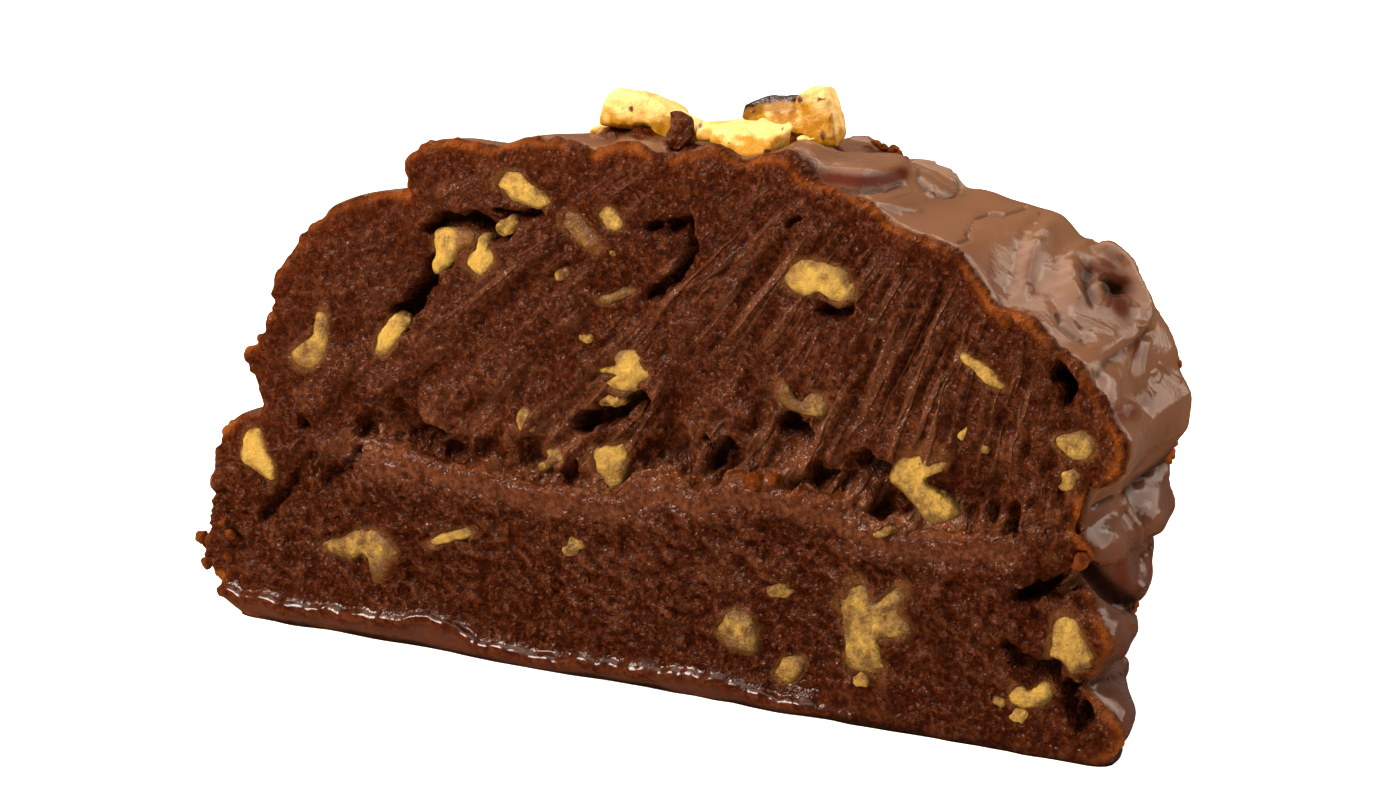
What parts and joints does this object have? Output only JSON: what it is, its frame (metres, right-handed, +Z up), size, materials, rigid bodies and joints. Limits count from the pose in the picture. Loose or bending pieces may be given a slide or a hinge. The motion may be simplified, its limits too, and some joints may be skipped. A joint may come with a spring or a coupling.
{
  "type": "chocolate walnut fudge",
  "caption": "Slice cut across a poured chocolate fudge loaf: flat base, domed skin in soft folds, chopped walnuts in the rough cut face and larger pieces on top.",
  "frame": {"origin": "under the middle of the part's box, on the plane of the flat underside", "axes": "+Z up from the underside, +X along the slice's width to the right of the cut face, +Y from the cut face to the back"},
  "size_m": [0.1206, 0.026, 0.0671],
  "materials": {
    "fudge": "moist satin, glossy on the poured skin",
    "crumb": "rough crumb",
    "walnut_top": "broken cream kernel, slightly oily",
    "walnut_cut": "cut tan kernel, stained by the fudge at its rim"
  },
  "bodies": {
    "root": {"fudge": "fudge", "fudge_crumb": "crumb", "walnut_top_left": "walnut_top", "walnut_top_small": "walnut_top", "walnut_top_middle": "walnut_top", "walnut_top_right": "walnut_top", "walnut_wedge": "walnut_cut", "walnut_pair_left": "walnut_cut", "walnut_pair_right": "walnut_cut", "walnut_brown_skinned": "walnut_cut", "walnut_beside_brown": "walnut_cut", "walnut_sliver": "walnut_cut", "walnut_left_tall": "walnut_cut", "walnut_left_round": "walnut_cut", "walnut_slotted": "walnut_cut", "walnut_upper_right_long": "walnut_cut", "walnut_half_covered": "walnut_cut", "walnut_right_long": "walnut_cut", "walnut_left_lobe": "walnut_cut", "walnut_low_arch": "walnut_cut", "walnut_low_sliver": "walnut_cut", "walnut_ledge_block": "walnut_cut", "walnut_ledge_dim": "walnut_cut", "walnut_hooked": "walnut_cut", "walnut_right_oval": "walnut_cut", "walnut_low_middle": "walnut_cut", "walnut_low_middle_small": "walnut_cut", "walnut_largest": "walnut_cut", "walnut_right_block": "walnut_cut", "walnut_right_low": "walnut_cut"}
  },
  "joints": []
}
